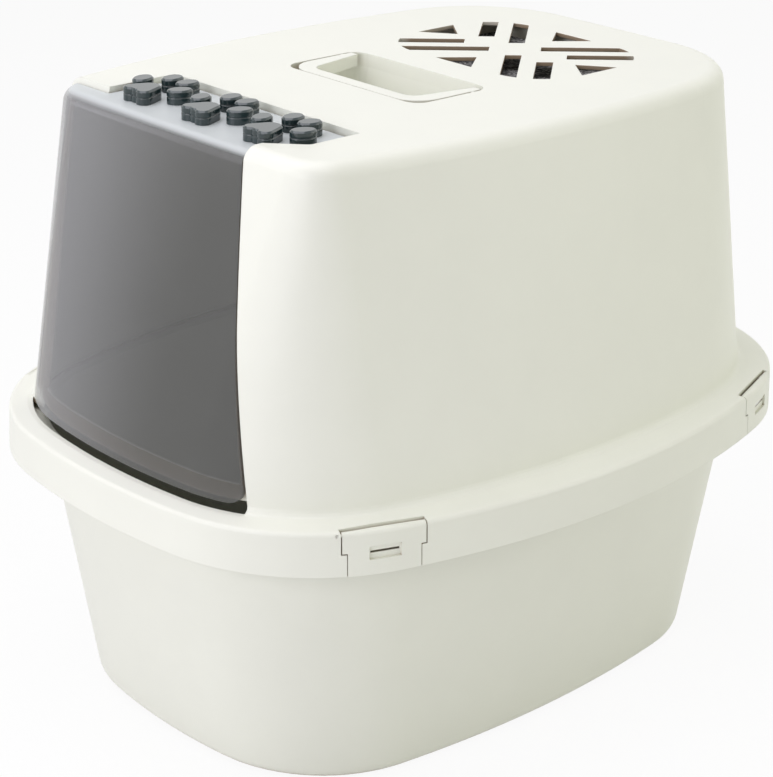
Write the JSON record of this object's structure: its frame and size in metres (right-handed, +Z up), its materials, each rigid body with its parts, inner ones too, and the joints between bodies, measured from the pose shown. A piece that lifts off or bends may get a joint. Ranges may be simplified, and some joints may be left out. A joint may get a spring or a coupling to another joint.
{
  "type": "covered litter box",
  "caption": "Covered cat litter box: open tub, clip-on hood with top grille and carry handle, and a smoke-grey flap hinged at the top that closes the front.",
  "frame": {"origin": "on the floor under the middle of the tub", "axes": "+Z up, +Y toward the back, +X to the right seen from the front, so the flap faces -Y"},
  "size_m": [0.4414, 0.564, 0.4489],
  "materials": {
    "tub_plastic": "fine satin",
    "hood_plastic": "fine satin",
    "handle_plastic": "fine satin",
    "clip_plastic": "fine satin",
    "holder_plastic": "satin",
    "filter_foam": "open fibre",
    "smoke_plastic": "clear smoke grey",
    "paw_plastic": "high gloss"
  },
  "bodies": {
    "tub": {"litter_tub": "tub_plastic"},
    "hood": {"hood_shell": "hood_plastic", "charcoal_filter": "filter_foam", "filter_holder": "holder_plastic"},
    "flap": {"front_flap": "smoke_plastic", "paw_print_left": "paw_plastic", "paw_print_middle": "paw_plastic", "paw_print_right": "paw_plastic"},
    "handle": {"carry_handle": "handle_plastic"},
    "front_right_clip": {"clip_front_right": "clip_plastic"},
    "rear_right_clip": {"clip_rear_right": "clip_plastic"},
    "front_left_clip": {"clip_front_left": "clip_plastic"},
    "rear_left_clip": {"clip_rear_left": "clip_plastic"}
  },
  "joints": [
    {"name": "hood_lift", "type": "slide", "parent": "tub", "child": "hood", "axis": [0, 0, 1], "range_m": [0, 0.26]},
    {"name": "flap_hinge", "type": "hinge", "parent": "hood", "child": "flap", "pos_m": [0, -0.1352, 0.4366], "axis": [-1, 0, 0], "range_deg": [0, 72]},
    {"name": "handle_hinge", "type": "hinge", "parent": "hood", "child": "handle", "pos_m": [0, -0.001, 0.4387], "axis": [-1, 0, 0], "range_deg": [0, 90]},
    {"name": "front_right_clip_hinge", "type": "hinge", "parent": "hood", "child": "front_right_clip", "pos_m": [0.18435, -0.18598, 0.2129], "axis": [-0.3518, -0.9361, 0], "range_deg": [0, 90]},
    {"name": "rear_right_clip_hinge", "type": "hinge", "parent": "hood", "child": "rear_right_clip", "pos_m": [0.18435, 0.18598, 0.2129], "axis": [0.3518, -0.9361, 0], "range_deg": [0, 90]},
    {"name": "front_left_clip_hinge", "type": "hinge", "parent": "hood", "child": "front_left_clip", "pos_m": [-0.18435, -0.18598, 0.2129], "axis": [-0.3518, 0.9361, 0], "range_deg": [0, 90]},
    {"name": "rear_left_clip_hinge", "type": "hinge", "parent": "hood", "child": "rear_left_clip", "pos_m": [-0.18435, 0.18598, 0.2129], "axis": [0.3518, 0.9361, 0], "range_deg": [0, 90]}
  ]
}
